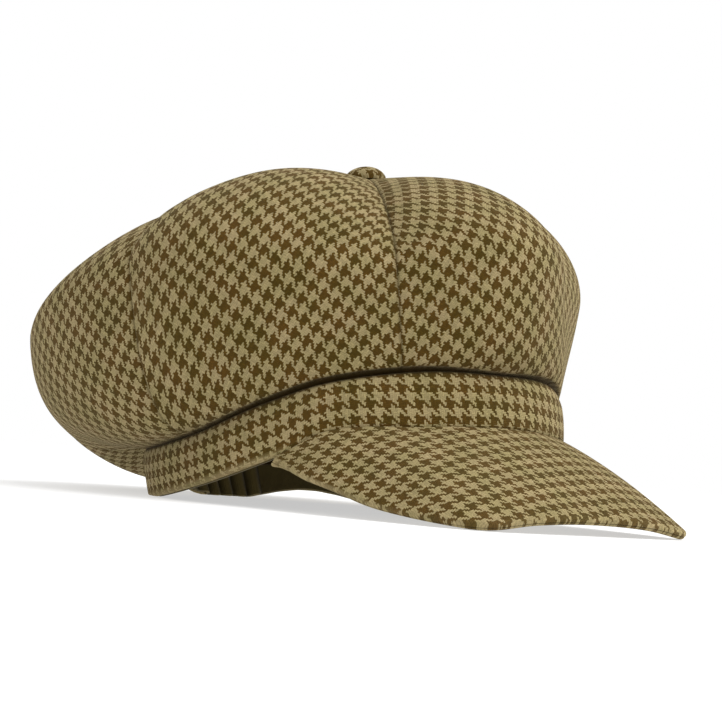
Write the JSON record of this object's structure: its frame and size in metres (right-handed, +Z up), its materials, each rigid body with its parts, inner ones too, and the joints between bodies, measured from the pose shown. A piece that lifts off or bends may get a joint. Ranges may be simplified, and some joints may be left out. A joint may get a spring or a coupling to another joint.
{
  "type": "baker boy cap",
  "caption": "Soft baker boy cap with a full crown of sewn gores, a covered button on top, an upright band, a stiff curved peak and a gathered elastic back.",
  "frame": {"origin": "middle of the cap's box, at the height of the surface that it rests on", "axes": "+Z up, the front of the cap and its peak towards -Y, the wearer's left towards +X"},
  "size_m": [0.2406, 0.3236, 0.1561],
  "materials": {
    "tweed": "brushed wool tweed in a small brown and tan houndstooth",
    "dark_tape": "matte dark olive cotton tape"
  },
  "bodies": {
    "root": {"crown_panel_front": "tweed", "crown_panel_front_left": "tweed", "crown_panel_back_left": "tweed", "crown_panel_back": "tweed", "crown_panel_back_right": "tweed", "crown_panel_front_right": "tweed", "top_button": "tweed", "band": "tweed", "peak_upper": "tweed", "peak_lower": "tweed", "sweatband": "dark_tape", "back_elastic": "dark_tape"}
  },
  "joints": []
}
